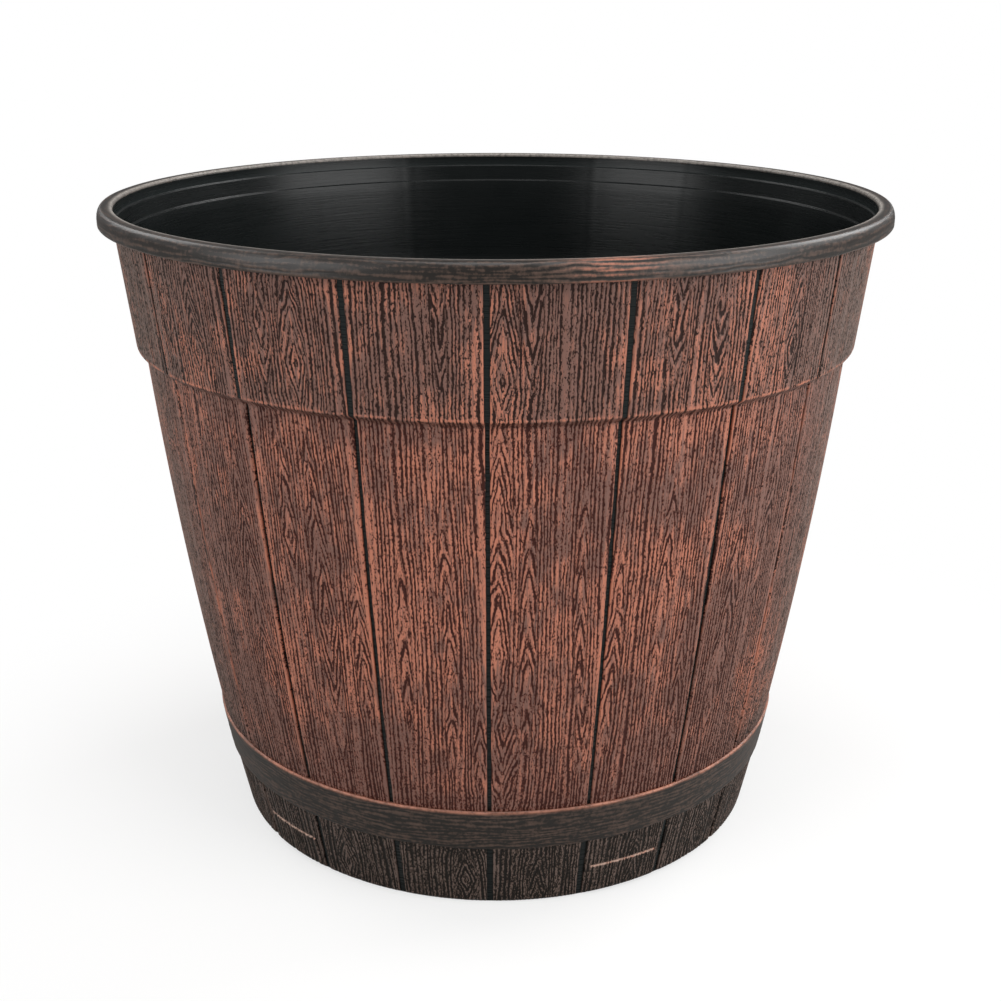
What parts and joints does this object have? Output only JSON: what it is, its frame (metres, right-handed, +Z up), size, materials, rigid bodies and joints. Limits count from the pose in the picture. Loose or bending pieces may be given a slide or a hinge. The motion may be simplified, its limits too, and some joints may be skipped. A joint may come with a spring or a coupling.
{
  "type": "barrel planter",
  "caption": "Round tapered plastic plant pot moulded to look like a wooden barrel, with a rolled rim, a raised band, a low hoop and drain holes closed by lift-out plugs.",
  "frame": {"origin": "middle of the foot's underside, on the surface that the pot stands on", "axes": "+Z up along the pot's axis, -Y towards the side that the picture shows, +X to the right of that side"},
  "size_m": [0.3038, 0.3038, 0.2504],
  "materials": {
    "pot_plastic": "near-black plastic with moulded wood grain, rubbed with copper-brown on its raised parts, satin outside and glossy black inside",
    "plug_rubber": "matte black"
  },
  "bodies": {
    "pot": {"pot_shell": "pot_plastic"},
    "plug_1": {"drain_plug_1": "plug_rubber"},
    "plug_2": {"drain_plug_2": "plug_rubber"},
    "plug_3": {"drain_plug_3": "plug_rubber"},
    "plug_4": {"drain_plug_4": "plug_rubber"},
    "plug_5": {"drain_plug_5": "plug_rubber"}
  },
  "joints": [
    {"name": "plug_1_lift", "type": "slide", "parent": "pot", "child": "plug_1", "axis": [0, 0, 1], "range_m": [0, 0.012]},
    {"name": "plug_2_lift", "type": "slide", "parent": "pot", "child": "plug_2", "axis": [0, 0, 1], "range_m": [0, 0.012]},
    {"name": "plug_3_lift", "type": "slide", "parent": "pot", "child": "plug_3", "axis": [0, 0, 1], "range_m": [0, 0.012]},
    {"name": "plug_4_lift", "type": "slide", "parent": "pot", "child": "plug_4", "axis": [0, 0, 1], "range_m": [0, 0.012]},
    {"name": "plug_5_lift", "type": "slide", "parent": "pot", "child": "plug_5", "axis": [0, 0, 1], "range_m": [0, 0.012]}
  ]
}
